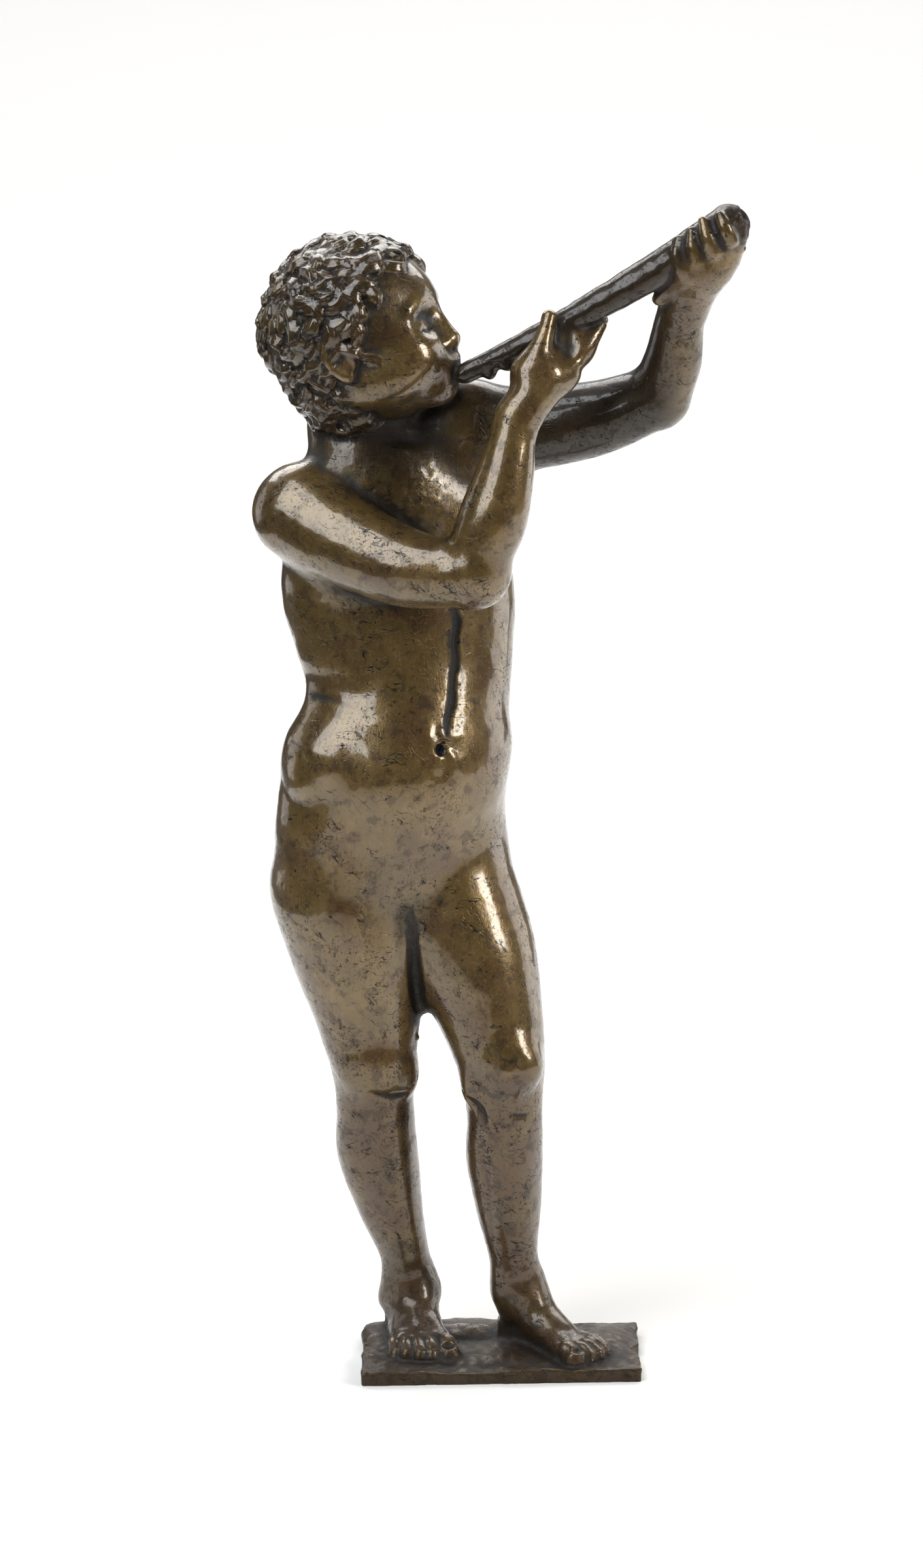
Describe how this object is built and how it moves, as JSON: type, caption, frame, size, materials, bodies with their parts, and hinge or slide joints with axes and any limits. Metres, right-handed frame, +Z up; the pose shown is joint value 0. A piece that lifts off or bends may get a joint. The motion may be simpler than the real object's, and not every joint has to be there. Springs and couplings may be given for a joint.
{
  "type": "boy trumpeter statuette",
  "caption": "Small cast bronze statuette of a standing nude child blowing a straight trumpet held up in both hands, on a low rectangular base plate.",
  "frame": {"origin": "middle of the flat underside of the base plate", "axes": "+Z up; the long sides of the base plate run along X; the statuette's front faces -Y, and the trumpet points to +X and up"},
  "size_m": [0.0853, 0.0464, 0.2082],
  "materials": {
    "Bronze": "dark brown patinated cast bronze under a glossy translucent lacquer, worn lighter and warmer on the high spots"
  },
  "bodies": {
    "root": {"Statuette": "Bronze"}
  },
  "joints": []
}
